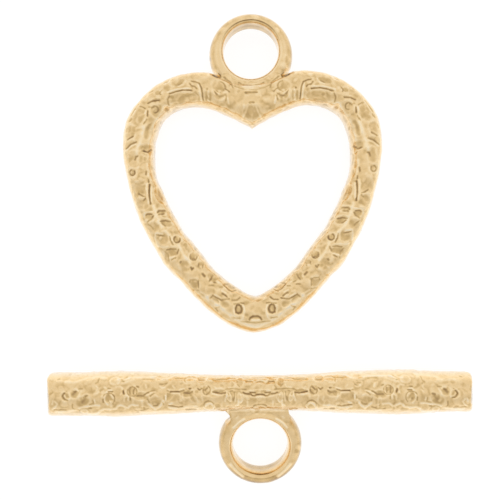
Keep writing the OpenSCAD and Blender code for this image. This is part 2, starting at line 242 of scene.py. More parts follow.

# Corners where the heart's loop meets the band, painted dark inside as shade and pale beside as a
# highlight, as above
HEART_CORNERS = {-2.6: [(2, 289, 73, 285, 75)], 1.2: [(3.7, 292.5, 67, 286.5, 71)]}

# Punched rings of one side of the heart, cut as grooves and painted dark as shade: to the side, up,
# radius, start angle, sweep, width, strength
HEART_PUNCHES = [
    (6.53, 1.04, 0.16, -210, 290, 0.06, 0.9),
    (4.16, -2.61, 0.17, 160, 260, 0.07, 0.9),
    (3.28, -3.55, 0.19, 180, 180, 0.06, 0.8),
    (5.22, 4.42, 0.18, 20, 250, 0.06, 0.6),
    (1.72, 5.59, 0.30, 100, 200, 0.06, 0.5),
    # Arc on the heart's loop near where it meets the band, cut as a groove and painted dark as shade
    (0.00, 7.29, 1.89, 216, 108, 0.06, 0.3),
]

# Dents of one side of the bar, mirrored to the other, in the same order
BAR_DENTS = [
    (0.2, -0.04, 0.6, 0.2, 0, 0.05), (1.09, 0.56, 0.24, 0.2, 90, 0.05),
    (1.1, -0.25, 0.32, 0.16, 80, -0.03), (1.69, -0.19, 0.32, 0.16, 70, -0.03),
    (2.23, 0.06, 0.4, 0.16, 0, 0.05), (2.88, 0.14, 0.32, 0.22, 50, 0.06),
    (2.77, -0.7, 0.36, 0.22, 0, -0.04), (3.2, 0.74, 0.32, 0.18, 0, 0.05), (3.95, 0, 0.4, 0.24, 0, 0.06),
    (4.7, -0.2, 0.42, 0.3, 0, 0.05), (5.64, -0.45, 0.4, 0.28, 0, 0.05),
    (6.44, -0.13, 0.38, 0.24, 0, 0.06), (6.87, 0.11, 0.3, 0.3, 0, 0.05),
    (7.84, 0.66, 0.34, 0.26, 0, -0.03), (8.12, -0.26, 0.36, 0.34, 0, 0.05),
    (9.47, -0.9, 0.24, 0.14, 0, -0.04), (9.52, -0.41, 0.42, 0.28, -20, 0.06),
    (9.98, 0.02, 0.28, 0.26, 0, 0.05), (10.44, -0.13, 0.26, 0.24, 0, 0.05),
]

# Lines read off the bar's left side in the photo, painted as shade and highlights, as above
BAR_LINES = {-1: [
    (1.3, 109.8, 391.5, 113.6, 391.4), (1.8, 124.3, 390.6, 125.3, 393.2),
    (1.4, 171, 391.5, 173, 391.3, 177, 391.3, 180, 391.6), (1.5, 213.4, 391.7, 215, 392, 219.2, 392.8),
    (1.6, 256, 394.8, 258, 394.3, 260.5, 394.1),
], -0.95: [
    (1.4, 243.3, 392.3, 246, 393.5, 249.5, 393.7),
], -0.9: [
    (1.4, 66, 392.5, 64.5, 394, 64, 396), (1.9, 75.4, 391.6, 76.8, 391.2),
    (1.2, 145.3, 394.7, 147.5, 393, 149.5, 392),
], -0.85: [
    (1.5, 189.3, 388.2, 190.9, 388.5), (1.3, 250.3, 392, 253, 392.2, 255.4, 392.3),
], -0.8: [
    (1.3, 205.3, 389.7, 207.6, 387.3),
], -0.7: [
    (1.1, 64, 396, 65.5, 398.3, 67, 399.5, 69.5, 399.7), (1.9, 87, 396, 89, 395.6),
    (1.5, 137.3, 386.2, 139, 386.8), (1.2, 181, 390.8, 184, 389.8),
    (1.2, 198, 388.3, 200, 389.8, 202, 388.2), (1.2, 203.6, 389.3, 203.2, 391.5, 204.6, 393.6),
    (1.1, 219.2, 392.8, 221.5, 393.3, 226, 392.4), (1.2, 251, 392.5, 251, 394, 253, 395.5, 255.2, 395.5),
    (1.5, 246.3, 381, 249.5, 381.4, 251.6, 381), (1.3, 257, 381.8, 260.3, 381.1),
], -0.65: [
    (1.1, 138, 395.6, 144.5, 395.6), (1.3, 169.5, 405, 174, 405.5, 179, 406.5, 183, 405.8),
], -0.6: [
    (2.2, 76, 391.8, 74, 394), (1.1, 208.3, 385.9, 210, 387.6),
    (1.2, 210.6, 388.5, 210.3, 391, 208.5, 393, 207, 394.3, 205.4, 394),
    (1.2, 213.5, 379.6, 219, 379.2, 226, 379.3, 229, 378.2, 235.5, 378.5),
], -0.55: [
    (1.2, 130.9, 387, 130.3, 390.5, 131.4, 394), (1, 151.3, 395.7, 152.5, 394.3, 154.6, 393),
], -0.5: [
    (1.3, 57, 379.3, 58.5, 378.8), (1.1, 109.3, 388.4, 111.3, 388.5), (1.5, 104.5, 399.3, 104.7, 401.5),
    (1.2, 90, 407.5, 92, 407.4), (1.2, 135.2, 388, 134.3, 391, 134.8, 393.6),
    (1.3, 131.4, 397, 131.6, 399.6), (1.1, 122, 380, 124, 379, 126.5, 377.4),
    (1.3, 123, 381.2, 124, 381.6), (1.5, 184.8, 392.4, 190, 393, 192.7, 391),
    (1.3, 174, 378, 180, 378.5, 184, 379, 188, 376.8, 192, 377, 195, 377.8),
    (2, 199, 379.9, 204.3, 379.5),
], -0.45: [
    (1.4, 230.5, 409.6, 240, 408.9, 250, 408, 253, 407, 254.5, 405, 258, 404, 260.3, 403.9),
], -0.4: [
    (0.9, 66.5, 391.2, 68, 391.2), (0.9, 80, 389, 83.5, 388.5), (1.1, 109.5, 400, 110.9, 402.2),
    (1.2, 55, 408.6, 60, 409.1, 67, 409.3), (1.2, 60, 413.5, 72, 413.5), (0.9, 131, 387.3, 132.6, 386.4),
    (1, 149, 399, 150, 402.3), (1.2, 143, 379, 148, 379.2, 152, 379.5), (1.1, 158, 379.2, 160.7, 379.3),
    (1.2, 136, 409.3, 144, 409.3, 149, 407.6), (1.1, 154, 405.3, 158, 405, 160, 403),
    (1.1, 165.2, 396, 165, 399.6), (1.1, 168.3, 396, 167.4, 399.7), (1.1, 168, 390.4, 169, 390.7),
    (1, 186, 388.7, 188, 388.3), (1.1, 186, 409, 196, 408.5), (1, 228.2, 391.6, 228.5, 394),
    (1, 230.8, 390.8, 232.3, 390.4), (1, 235, 392, 235, 395, 233.5, 399.5),
    (1.2, 252, 378, 257, 377.5, 260.3, 377.4), (1.2, 224.6, 409.3, 226.2, 411.3),
], -0.35: [
    (2.4, 87.5, 396.5, 86.5, 399, 84, 401.5), (1.2, 96, 383.5, 98, 382, 98.5, 378.5),
    (1.1, 91, 404, 95, 403.2, 94.6, 400), (1.1, 74, 403.5, 73.5, 407, 75, 408.5, 79, 408.4),
    (0.9, 149.5, 392, 151.5, 391, 155, 390.2), (1.6, 160, 384, 164, 384.3, 167, 383, 164.6, 386),
    (1, 163.3, 401.6, 164.2, 403.7), (1, 184, 379, 185, 382),
    (1, 237, 380.6, 236.5, 383, 238, 385, 239.7, 386.6),
    (1.3, 232, 376.7, 240, 376.5, 245, 377.5, 250, 378.5),
    (1.2, 224, 390, 227, 388.8, 233, 388.3, 240, 388.8, 246, 389),
], 0.2: [
    (1.5, 260.5, 410, 230.5, 410.5),
], 0.4: [
    (2.2, 82.3, 391.5, 80.7, 395, 80.7, 399.5), (1.1, 100.3, 391.5, 98.4, 393.4),
    (1.1, 122.8, 393, 121.8, 394.5), (2.2, 119, 384, 125, 383, 129, 381, 134, 379.5),
    (1.1, 168.3, 389, 170, 389.8), (1.1, 192.2, 389.4, 191, 391), (1, 131, 395.5, 133.3, 396.2),
    (1.4, 143, 400, 143.5, 404, 143, 409), (1, 146.5, 395.2, 150, 393.6, 152, 391.7, 156, 391.6),
    (1, 155, 394, 157, 395, 158.3, 396), (1.1, 183, 394, 183.5, 398, 185, 399.3),
    (1.1, 172, 393, 180, 392.8), (1.3, 213, 378, 220, 377.8, 226, 377.4),
    (1.3, 233, 381, 235, 384, 234, 387, 229, 387.6), (1.3, 215, 387, 216.2, 388.6),
    (1, 228, 396, 231, 395), (1.1, 197, 397, 198, 400), (1.1, 202, 396, 203, 399.7),
    (1.4, 236, 410.6, 240, 410.1, 250, 410.6), (1.1, 256, 413.5, 258, 413.3),
    (1.1, 238, 416, 236.4, 417.6),
], 0.5: [
    (2.4, 65, 382, 75, 382.5, 80, 380.5, 86, 378, 96, 377, 103, 377.5), (1.1, 66.2, 391.2, 63.7, 393.6),
    (1.2, 75, 390, 78, 389.5, 79.5, 390.6, 80.7, 389.5), (1.1, 96.2, 403.6, 98.4, 403.9),
    (1.3, 97, 386, 99, 388, 98, 390), (1.2, 105.4, 387, 107.3, 388.2), (1.1, 110.4, 402, 111.7, 401),
    (1.2, 117, 386.8, 121, 386, 123.4, 388, 123.6, 391), (1.5, 146, 384.8, 147, 387.7),
    (1.4, 173, 385.8, 175, 387.7), (1.1, 180.5, 389.1, 184, 388.9),
    (1.3, 183, 379, 184, 382, 186, 383.5, 191, 383.3), (1.3, 186, 382, 192, 381.5, 197, 379.8),
    (1.2, 125.6, 397, 125.6, 400.5), (1.2, 125.7, 408.6, 129.6, 406),
    (1, 151.5, 394, 152.5, 392.8, 154.6, 392), (1.6, 140, 411, 150, 411.5, 160, 410.5, 175, 410.5),
    (1.7, 196, 377.5, 204, 377, 206, 379.6, 211, 380.2), (1.5, 241, 378, 243.5, 379.2),
    (1.2, 254, 381.5, 258, 383, 260.3, 383.1), (1.1, 247.5, 401, 247.8, 405.2),
    (1.2, 213, 393.5, 219, 394.4), (1.2, 256.5, 396.2, 260.3, 395.8),
], 0.6: [
    (1.3, 55, 400.5, 54, 403.2), (1.1, 66, 395.5, 67.5, 398, 69.5, 398.6, 71.3, 398.6),
    (1.3, 160.5, 386.4, 163, 388, 165.3, 387), (1.3, 126, 397, 128.4, 395.1, 130, 397, 129.5, 399.6),
    (1.2, 252, 380, 256, 381, 258, 380, 260.3, 379.3), (1.1, 235.6, 393, 235.9, 397, 235.5, 400.4),
    (1.3, 240.5, 394.5, 243, 394, 244, 397, 243, 399.5, 241, 401.2),
    (1.8, 188, 407, 197, 407.3, 203, 407.5, 204.6, 405.6), (1.2, 250.5, 390.6, 253.5, 390.8),
], 0.7: [
    (1.4, 56.5, 401, 59, 403.5, 57, 406, 54.3, 408.2), (1.3, 96, 399.4, 96.6, 401.7),
    (1.9, 112.8, 395, 114.4, 397.4),
    (2, 118, 380, 128, 378.5, 134, 377.5, 143, 377.5, 150, 377, 157, 378.5, 162, 379.8, 167, 379, 173,
     376.5, 180, 376, 190, 375.5, 197, 376),
    (1.5, 205, 405.8, 208, 402.8, 211, 402.2, 213.5, 404, 214.6, 407.4), (1.4, 227.5, 410, 228, 412.3),
], 0.8: [
    (1.7, 56, 411, 66, 410.5, 72, 410, 78, 408.5, 84, 406.5, 92, 405.5, 97, 404.5, 101, 404.6),
    (1.3, 109.5, 390, 113, 390.2),
    (1.3, 111, 390.2, 108.5, 391.5, 107, 394, 106, 397, 106, 400, 107.5, 402.5, 109.2, 403.9),
    (1.6, 118, 407, 120, 404.8, 124, 405, 126, 406.5, 129, 407, 131, 405, 133, 404, 139, 404.6),
    (1.8, 149.8, 403.2, 153, 406, 156, 408.5, 160, 406, 163, 402, 164.6, 400),
    (2, 169.5, 406.5, 173, 407.5, 178, 407.5, 183, 407, 190, 405.5, 197, 405.5),
    (1.4, 227.6, 394, 226, 397, 225.3, 400.3), (1.2, 235.8, 405, 237.3, 404),
], 0.9: [
    (1.8, 88, 413, 94, 413.5, 98, 412, 101, 410, 105, 408.3, 112, 408.5, 117, 408, 119, 405.5, 122,
     404.5, 126, 406), (1.4, 169.8, 403.6, 172.8, 402.4), (1.8, 238.3, 400.5, 238.6, 402.5, 238, 405.2),
    (2.6, 230.5, 464, 236.5, 470.5, 242.5, 475.5), (1.9, 244, 418.5, 238, 422, 233.5, 427),
], 1: [
    (1.7, 166.4, 395.8, 166.7, 399.2),
]}

# Corner where the neck meets the bar, painted pale as a highlight, as above
BAR_CORNERS = {0.5: [(1.9, 260.5, 408.5, 230.5, 408.5)]}

# Punched rings of one side of the bar, cut and painted dark as shade, as above
BAR_PUNCHES = [
    (8.10, -0.28, 0.32, 30, 200, 0.06, 0.5),
    (6.87, 0.11, 0.26, 0, 360, 0.05, 0.5),
    (2.77, -0.68, 0.26, 0, 180, 0.06, 0.5),
]

# Meshes of the band and of the bar: rings and sides, the share of sides on the band's front, and the
# rings of the bar's rounded end edges
BAND_RINGS = 780
BAND_SIDES = 100
FRONT_SHARE = 0.6
BAR_RINGS_LONG = 520
BAR_END_RINGS = 10
BAR_SIDES = 156

# Meshes of the web and the neck, of the turned loops and holes, and a punched ring's points
PLATE_RINGS = 40
PLATE_SIDES = 56
PLATE_EDGE_SIDES = 12
LOOP_STEPS = 160
LOOP_SIDES = 84
FLARE_STEPS = 26
WALL_STEPS = 17
PUNCH_STEPS = 17

# Fine steps along an outline and a section, from which evenly spaced points are picked
OUTLINE_STEPS = 3601
SECTION_STEPS = 4001

# Cutters: how far they reach up and down, their thin core, and how far a hole's flare goes past its ring
CUTTER_REACH = 2
CUTTER_CORE = 0.0005
FLARE_PAST = 0.03

# Small dents all over: radius, stretch, depth, the share that is raised, and how many a sub-part has
SMALL_RADIUS = (0.14, 0.42)
SMALL_STRETCH = 2.2
SMALL_DEPTH = (0.006, 0.024)
RAISED_SHARE = 0.45
BAND_SMALL = 2600
BAR_SMALL = 1700
PLATE_SMALL = 80
LOOP_SMALL = 50

# Where the random draws of each sub-part start
BAND_SEED, BAR_SEED, WEB_SEED, HEART_RING_SEED, BAR_RING_SEED, NECK_SEED = range(7, 13)

# Charted marks: depth of grooves, height of ridges, a line's softness and reach in widths, how
# steeply a raised pad rises, and which faces take marks, by how far they face the eye
GROOVE_DEPTH = 0.035
RIDGE_HEIGHT = 0.016
LINE_SOFT = 0.6
LINE_REACH = 3
PAD_RISE = 2.5
FACING_START = 0.1
FACING_SPAN = 0.4

# Colour of the gold by its tone, from grooves painted dark as shade through plain gold to ridges painted
# bright as highlights: tone, colour
GOLD_AND_PAINTED_LIGHT = [
    (-2.0, (0.05, 0.035, 0.02)),
    (-1.0, (0.27, 0.145, 0.045)),
    (-0.4, (0.66, 0.445, 0.182)),
    (0.0, (0.86, 0.614, 0.305)),
    (0.5, (0.95, 0.725, 0.415)),
    (1.0, (0.99, 0.80, 0.51)),
    (2.0, (0.87, 0.80, 0.68)),
]
TONES = (GOLD_AND_PAINTED_LIGHT[0][0], GOLD_AND_PAINTED_LIGHT[-1][0])

# Tone of marks, painted lighter on raised spots as highlights and darker in hollows as shade: the height
# over their surroundings that counts as one, the rounds of averaging that find those, the least and most
# tone of such a height, and the tone of grooves, painted dark as shade, and of ridges, painted bright as
# highlights
CREST_HEIGHT = 0.016
CREST_ROUNDS = 5
CREST_TONES = (-0.32, 0.7)
GROOVE_TONE = 0.72
RIDGE_TONE = 0.95

# Tone painted across the heart's band as shading, from its inner side (-1) over its front to its outer
# side (1)
HEART_PAINTED_RIM_SHADING = [
    (-1, 0.05), (-0.9, -0.08), (-0.82, 0.02), (-0.7, 0.1), (-0.55, 0), (-0.4, -0.12), (-0.2, -0.04),
    (0.3, 0), (0.5, 0.1), (0.7, 0.3), (0.85, 0.5), (0.95, 0.6), (1, 0.4),
]

# Tone painted across the bar as shading, from its lower edge (-1) to its upper edge (1), as seen
BAR_PAINTED_RIM_SHADING = [
    (-1, 0.4), (-0.95, 0.5), (-0.82, 0), (-0.67, -0.08), (-0.4, -0.05), (0.35, -0.03), (0.46, 0.05),
    (0.6, 0.15), (0.75, 0.35), (0.9, 0.5), (1, 0.4),
]

# Tone painted on the loops' rings by radius as shading across their domes, at their sides and at their
# outer end, and how fast the latter comes in
HEART_RING_TONES = [
    (1.50, 0.1), (1.69, 0.15), (1.76, 0.1), (1.84, 0.35), (1.89, 0.1), (1.95, -0.1), (2.00, -0.2),
    (2.05, -0.25), (2.11, -0.3), (2.24, -0.3),
]
HEART_RING_END_TONES = [
    (1.50, 0.1), (1.69, 0.2), (1.80, 0.2), (1.90, -0.1), (2.00, -0.25), (2.07, -0.2), (2.14, 0),
    (2.24, 0.1),
]
BAR_RING_TONES = [
    (1.50, 0.1), (1.73, 0.1), (1.84, 0), (1.95, -0.05), (2.00, -0.2), (2.05, -0.3), (2.11, -0.35),
    (2.24, -0.3),
]
BAR_RING_END_TONES = [
    (1.50, -0.3), (1.62, -0.6), (1.70, -0.8), (1.76, -0.45), (1.84, -0.3), (1.90, -0.5), (1.95, -0.7),
    (2.02, -0.7), (2.11, -0.6), (2.24, -0.4),
]
END_POWER = 3

# Tone of the holes' far walls by height, painted darker as shade and reflection and lighter as
# highlights, tone of their near walls, and how fast the former comes in
HEART_BORE_TONES = [
    (-0.68, -0.5), (-0.36, -0.45), (-0.15, -0.5), (0.0, -0.6), (0.10, -0.65), (0.18, -0.6), (0.26, -0.35),
    (0.33, -0.4), (0.42, -0.25), (0.48, -0.3), (0.54, -0.25), (0.58, -0.3), (0.63, 0.4), (0.68, 0.4),
]
BAR_BORE_TONES = [
    (-0.68, 0.6), (-0.42, 0.2), (-0.32, -0.45), (-0.10, -0.55), (0.10, -0.45), (0.25, -0.2), (0.38, 0),
    (0.44, 0), (0.56, 0), (0.68, 0),
]
BORE_PLAIN = 0.4
FAR_WALL_POWER = 0.7

# Dark line painted in the far wall as a reflection: height, width, side that it is on and how fast it
# comes in; and its tone
HEART_BORE_LINE = (0.600, 0.013, 1, 1.5)
BAR_BORE_LINE = (0.50, 0.030, -1, 9)
BORE_LINE_TONE = 1.4

# Paleness of the rims, painted as a reflection, where it starts across a front, of the corners, painted
# as a highlight, of the holes' edges, painted as a reflection, how far that reaches, and how much colour
# full paleness takes
RIM_PALE = 0.45
RIM_START = 0.75
CORNER_PALE = 0.5
BORE_PALE = 0.4
BORE_PALE_REACH = 0.12
PALE_LOSS = 0.6

# Angle in degrees from which an edge stays sharp, and how high the flattened resting spots lie, in mm
SHARP_ANGLE = 40
SEAT = 0.001

# Length of the square table's sides, in metres
TABLE_SIZE = 0.8

# Light from all round: degrees from straight up, towards +Y where positive, and brightness; and the
# brightness at the top of its curve
SKY = [
    (-90, 0.94), (-71, 0.91), (-51, 0.84), (-32, 0.795), (-15, 0.81), (2, 0.925), (18, 0.92), (34, 0.90),
    (51, 0.90), (68, 0.93), (90, 0.96),
]
SKY_TOP = 1.25

# Camera: width of its sensor in mm, and the nearest and farthest that it sees in metres
SENSOR_WIDTH = 36
NEAREST_SEEN = 0.001
FARTHEST_SEEN = 10


def blend(before, start, end, after, t):
    """Smooth curve through four neighbouring values of a table."""
    return start + 0.5 * t * (end - before + t * (
        2 * before - 5 * start + 4 * end - after + t * (3 * (start - end) + after - before)))


def heart_edge(angle, column):
    """Radius of the heart's edge at angles from -90 to 90."""
    cells = HEART[:, column]
    cells = np.concatenate([[2 * cells[0] - cells[1]], cells, [2 * cells[-1] - cells[-2]]])
    angle = np.hypot(angle + 90, TIP_ROUND) - 90
    place = np.minimum((angle + 90) / ANGLE_STEP, len(HEART) - 1)
    row = np.clip(np.floor(place).astype(int), 0, len(HEART) - 2)
    return blend(cells[row], cells[row + 1], cells[row + 2], cells[row + 3], place - row)


def squared(value, power):
    """Signed power, for sections between an ellipse and a rectangle."""
    return np.sign(value) * np.abs(value) ** power


def even_steps(xs, ys, count):
    """Places along a polyline, as fractional indices, that lie evenly by length."""
    length = np.concatenate([[0], np.cumsum(np.hypot(np.diff(xs), np.diff(ys)))])
    return np.interp(np.linspace(0, length[-1], count), length, np.arange(len(xs)))


def section_angles(count, wide, high, power):
    """Parameter angles round a squared section, even by length, but closer on the front."""
    front = round(count * FRONT_SHARE)
    halves = []
    for start, steps in ((0, front), (np.pi, count - front)):
        fine = np.linspace(start, start + np.pi, SECTION_STEPS)
        xs = wide * squared(np.cos(fine), 2 / power)
        ys = high * squared(np.sin(fine), 2 / power)
        halves.append(np.interp(even_steps(xs, ys, steps + 1)[:-1], np.arange(len(fine)), fine))
    return np.concatenate(halves)


def bowls(dents, x, y):
    """Depth of charted dents, with a rounded floor and a crisp rim, less the raised pads."""
    low = np.zeros_like(x)
    high = np.zeros_like(x)
    for side, up, long, wide, turn, depth in dents:
        c = math.cos(math.radians(turn))
        s = math.sin(math.radians(turn))
        along = ((x - side) * c + (y - up) * s) / long
        across = ((y - up) * c - (x - side) * s) / wide
        shape = 1 - along ** 2 - across ** 2
        if depth > 0:
            low = np.maximum(low, depth * shape)
        else:
            high = np.maximum(high, -depth * np.clip(PAD_RISE * shape, 0, 1))
    return low - high


def path_distance(x, y, xs, ys):
    """Distance of points from a path of straight pieces."""
    gap = np.full_like(x, np.inf)
    for x0, y0, dx, dy in zip(xs, ys, np.diff(xs), np.diff(ys)):
        t = np.clip(((x - x0) * dx + (y - y0) * dy) / (dx * dx + dy * dy), 0, 1)
        gap = np.minimum(gap, np.hypot(x - x0 - t * dx, y - y0 - t * dy))
    return gap


def line_strength(x, y, path, width, strength):
    """Strength of one narrow line that follows a path."""
    xs, ys = path
    reach = LINE_REACH * width
    near = (x > xs.min() - reach) & (x < xs.max() + reach)
    near &= (y > ys.min() - reach) & (y < ys.max() + reach)
    field = np.zeros_like(x)
    if near.any():
        gap = path_distance(x[near], y[near], xs, ys)
        field[near] = strength * np.exp(-(gap / (LINE_SOFT * width)) ** 2)
    return field


def chart_mm(lines, middle, turn, right):
    """Width in mm, tone and path of lines read off the photo, about a half's middle.

    The side that was read is the right one, or the left one with right = -1.
    """
    c = math.cos(math.radians(turn))
    s = math.sin(math.radians(turn))
    chart = []
    for tone, rows in lines.items():
        for width, *places in rows:
            across = np.array(places[0::2]) - middle[0]
            up = middle[1] - np.array(places[1::2])
            path = (right * PIXEL * (c * across + s * up), PIXEL * (c * up - s * across))
            chart.append((max(width * PIXEL, NARROWEST), tone, path))
    return chart


def marks(lines, punches, x, y):
    """Strength of all charted grooves and punched rings, and of all charted ridges, at points; these also
    set painted shade and highlights.
    """
    dark = np.zeros_like(x)
    bright = np.zeros_like(x)
    for width, tone, path in lines:
        field = line_strength(x, y, path, width, abs(tone))
        if tone < 0:
            dark = np.maximum(dark, field)
        else:
            bright = np.maximum(bright, field)
    for side, up, radius, start, sweep, width, strength in punches:
        t = np.radians(start + np.linspace(0, sweep, PUNCH_STEPS))
        path = (side + radius * np.cos(t), up + radius * np.sin(t))
        dark = np.maximum(dark, line_strength(x, y, path, width, strength))
    return dark, bright * (1 - dark)


def small_dents(points, count, seed):
    """Depth of many small stretched hammer marks scattered over a surface, some of them raised."""
    draw = np.random.default_rng(seed)
    low = np.zeros(len(points))
    high = np.zeros(len(points))
    centres = points[draw.integers(0, len(points), count)]
    radii = draw.uniform(*SMALL_RADIUS, count)
    depths = draw.uniform(*SMALL_DEPTH, count)
    raised = draw.uniform(0, 1, count) < RAISED_SHARE
    ways = draw.normal(size=(count, 3))
    ways = ways / np.linalg.norm(ways, axis=1, keepdims=True)
    squeeze = draw.uniform(1, SMALL_STRETCH, count) ** 2 - 1
    order = np.argsort(points[:, 0])
    sorted_x = points[order, 0]
    for centre, radius, deep, up, way, thin in zip(centres, radii, depths, raised, ways, squeeze):
        first, last = np.searchsorted(sorted_x, (centre[0] - radius, centre[0] + radius))
        near = order[first:last]
        off = points[near] - centre
        reach = ((off ** 2).sum(1) + thin * (off @ way) ** 2) / radius ** 2
        inside = reach < 1
        hit = near[inside]
        field = high if up else low
        field[hit] = np.maximum(field[hit], deep * (1 - reach[inside]))
    return low - high


def grid_normals(grid, closed):
    """Outward normals of a grid of rings and sides; the rings join up where closed."""
    if closed:
        along = np.roll(grid, -1, 0) - np.roll(grid, 1, 0)
    else:
        along = np.gradient(grid, axis=0)
    around = np.roll(grid, -1, 1) - np.roll(grid, 1, 1)
    normal = np.cross(around, along)
    normal = normal / np.maximum(np.linalg.norm(normal, axis=2, keepdims=True), 1e-12)
    outward = grid - grid.mean(axis=1, keepdims=True)
    return normal * np.sign((normal * outward).sum())


def end_strips(first, sides):
    """Faces of one end of a grid, in level strips; the last strip each way is a triangle."""
    opposite = sides // 2
    strips = []
    for way in (1, -1):
        for step in range(sides // 4):
            places = [way * step, way * (step + 1), opposite - way * (step + 1), opposite - way * step]
            strip = [first + place % sides for place in places]
            if strip[1] == strip[2]:
                del strip[2]
            strips.append(strip[::way])
    return strips


def grid_faces(rings, sides, closed):
    """Four-sided faces of a grid, and its two ends in strips where it is open."""
    ring = np.arange(rings if closed else rings - 1)[:, None]
    side = np.arange(sides)[None, :]
    here, there = ring * sides, (ring + 1) % rings * sides
    turn = (side + 1) % sides
    quads = np.stack([here + side, here + turn, there + turn, there + side], axis=2)
    faces = quads.reshape(-1, 4).tolist()
    if not closed:
        faces += [face[::-1] for face in end_strips(0, sides)]
        faces += end_strips((rings - 1) * sides, sides)
    return faces


def signed_volume(points, faces):
    """Volume inside a closed mesh, negative where its faces point inwards."""
    total = 0.0
    for size in sorted({len(face) for face in faces}):
        ring = np.array([face for face in faces if len(face) == size])
        first = points[ring[:, 0]]
        for corner in range(1, size - 1):
            pair = np.cross(points[ring[:, corner]], points[ring[:, corner + 1]])
            total += (first * pair).sum() / 6
    return total


def new_piece(name, grid, closed, tone, pale):
    """Closed mesh object from a grid of points in mm, with the tone and paleness of its gold, which carry
    painted shade, highlights and reflections.
    """
    points = grid.reshape(-1, 3)
    faces = grid_faces(grid.shape[0], grid.shape[1], closed)
    if signed_volume(points, faces) < 0:
        faces = [face[::-1] for face in faces]
    mesh = bpy.data.meshes.new(name)
    mesh.from_pydata((points * MM).tolist(), [], faces)
    for label, values in (("tone", tone), ("pale", pale)):
        values = values.reshape(-1).astype(np.float32)
        mesh.attributes.new(label, "FLOAT", "POINT").data.foreach_set("value", values)
    piece = bpy.data.objects.new(name, mesh)
    bpy.context.scene.collection.objects.link(piece)
    return piece


def band_grid():
    """Points of the plain heart band, ring by ring."""
    half = np.linspace(-90, 90, OUTLINE_STEPS)
    middle = (heart_edge(half, 1) + heart_edge(half, 2)) / 2
    xs, ys = middle * np.cos(np.radians(half)), middle * np.sin(np.radians(half))
    right = np.interp(even_steps(xs, ys, BAND_RINGS // 2 + 1), np.arange(len(half)), half)
    folded = np.concatenate([right, right[-2:0:-1]])
    angle = np.radians(np.concatenate([right, 180 - right[-2:0:-1]]))[:, None]
    inner = heart_edge(folded, 1)[:, None]
    outer = heart_edge(folded, 2)[:, None]
    t = section_angles(BAND_SIDES, BAND_HALF, BAND_THICK / 2, BAND_SQUARE)[None, :]
    radius = (inner + outer) / 2 + (outer - inner) / 2 * squared(np.cos(t), 2 / BAND_SQUARE)
    high = BAND_THICK / 2 * squared(np.sin(t), 2 / BAND_SQUARE) + 0 * radius
    return np.stack([radius * np.cos(angle), radius * np.sin(angle), high], axis=2)


def bar_grid():
    """Points of the plain bar, ring by ring from left to right."""
    half = BAR_LENGTH / 2
    run = np.linspace(0, half - BAR_EDGE, BAR_RINGS_LONG // 2)[:-1]
    end = half - BAR_EDGE * (1 - np.sin(np.linspace(0, np.pi / 2, BAR_END_RINGS)))
    right = np.concatenate([run, end])
    along = np.concatenate([-right[:0:-1], right])[:, None]
    share = np.abs(along) / half
    swell = np.where(
        along < 0, np.interp(share, BAR[:, 0], BAR[:, 1]), np.interp(share, BAR[:, 0], BAR[:, 2]))
    corner = np.clip(1 - (half - np.abs(along)) / BAR_EDGE, 0, 1)
    radius = (BAR_WAIST + (BAR_FAT - BAR_WAIST) * swell) / 2
    radius = radius - BAR_EDGE * (1 - np.sqrt(1 - corner ** 2))
    t = np.linspace(0, 2 * np.pi, BAR_SIDES, endpoint=False)[None, :]
    near = np.clip(1 - (half - np.abs(along)) / DOME_REACH, 0, 1) ** 2 * np.sign(along)
    bend = END_DOME * np.sin(t) ** 2 + END_SLANT * (1 + np.cos(t))
    return np.stack([along - near * bend, radius * np.cos(t), radius * np.sin(t)], axis=2)


def neck_half(y):
    """Half thickness of the bar's neck, which rises to the bar in a fillet."""
    middle = NECK_HALF + NECK_FILLET
    start = -math.sqrt((BAR_WAIST / 2 + NECK_FILLET) ** 2 - middle ** 2)
    rise = middle - np.sqrt(NECK_FILLET ** 2 - np.maximum(y - start, 0) ** 2)
    return np.minimum(rise, np.sqrt((BAR_WAIST / 2) ** 2 - np.clip(y, -FILLET_END, 0) ** 2))


def plate_grid(edges, half):
    """Points of a plate between a left and a right edge, ring by ring upwards."""
    y = np.linspace(edges[0, 0], edges[-1, 0], PLATE_RINGS)[:, None]
    left = np.interp(y, edges[:, 0], edges[:, 1])
    right = np.interp(y, edges[:, 0], edges[:, 2])
    face = np.linspace(0, 1, PLATE_SIDES)[None, :]
    edge = np.linspace(-1, 1, PLATE_EDGE_SIDES + 2)[None, 1:-1]
    xs = np.concatenate([left + (right - left) * face, right + 0 * edge,
                         right + (left - right) * face, left + 0 * edge], axis=1)
    zs = np.concatenate([1 + 0 * face, -edge, -1 + 0 * face, edge], axis=1) * half(y)
    return np.stack([xs, y + 0 * xs, zs + 0 * xs], axis=2)


def lathe_grid(profile):
    """Points of a turned solid from a closed list of radius and height, about Z."""
    angle = np.linspace(0, 2 * np.pi, LOOP_STEPS, endpoint=False)[:, None]
    radius, height = np.array(profile).T[:, None, :]
    return np.stack([radius * np.cos(angle), radius * np.sin(angle), height + 0 * angle], axis=2)


def softened(field, rounds):
    """Field of a grid, taken as closed, after repeated averaging with its neighbours."""
    for _ in range(rounds):
        for axis in (0, 1):
            field = (np.roll(field, 1, axis) + 2 * field + np.roll(field, -1, axis)) / 4
    return field


def painted_edge_reflection(across):
    """Paleness painted as a reflection near the edges of a front, -1 and 1 across it."""
    return RIM_PALE * np.clip((np.abs(across) - RIM_START) / (1 - RIM_START), 0, 1)


# Each of the next four gives, for a sub-part's points, the chart's side and up, how far a point faces
# the eye or away from it, and its painted shading and its paleness, painted as a reflection, as part of a
# rim


